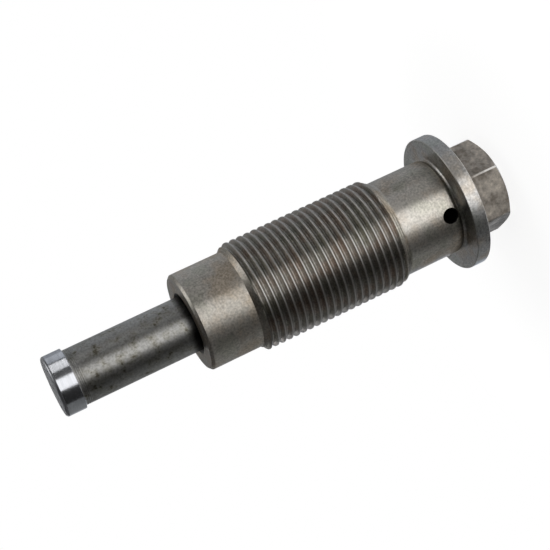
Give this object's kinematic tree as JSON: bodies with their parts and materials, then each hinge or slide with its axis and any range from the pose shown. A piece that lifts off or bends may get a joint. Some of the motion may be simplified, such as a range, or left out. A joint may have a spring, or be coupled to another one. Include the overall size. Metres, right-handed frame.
{
  "type": "hydraulic timing chain tensioner",
  "caption": "Screw-in hydraulic timing chain tensioner: hexagon and flange, drilled shank, fine-threaded body and a spring-loaded plunger with a ground thrust head.",
  "frame": {"origin": "centre of the hexagon's end face, on the part's axis", "axes": "+Z along the plunger, from the hexagon to the thrust head; the oil hole faces -Y, square to one flat of the hexagon"},
  "size_m": [0.0274, 0.0274, 0.0936],
  "materials": {
    "turned_steel": "turned and phosphated, satin grey",
    "ground_steel": "hardened, ground thrust head, duller shaft",
    "spring_steel": "oiled spring wire",
    "bearing_steel": "polished bearing ball",
    "stamped_steel": "bright cold-rolled sheet",
    "filled_plastic": "glass-filled, black"
  },
  "bodies": {
    "housing": {"housing": "turned_steel", "valve_seat": "ground_steel", "ball_cage": "stamped_steel", "plunger_spring": "spring_steel"},
    "plunger": {"plunger": "ground_steel", "retaining_ring": "spring_steel", "filler_pin": "filled_plastic"},
    "check_ball": {"check_ball": "bearing_steel", "valve_spring": "spring_steel"}
  },
  "joints": [
    {"name": "plunger_slide", "type": "slide", "parent": "housing", "child": "plunger", "axis": [0, 0, 1], "range_m": [-0.016, 0], "stiffness_N_per_m": 1000, "springref_m": 0.015, "deforming": ["plunger_spring"]},
    {"name": "ball_lift", "type": "slide", "parent": "housing", "child": "check_ball", "axis": [0, 0, 1], "range_m": [0, 0.0005], "stiffness_N_per_m": 20, "springref_m": -0.001, "deforming": ["valve_spring"]}
  ]
}
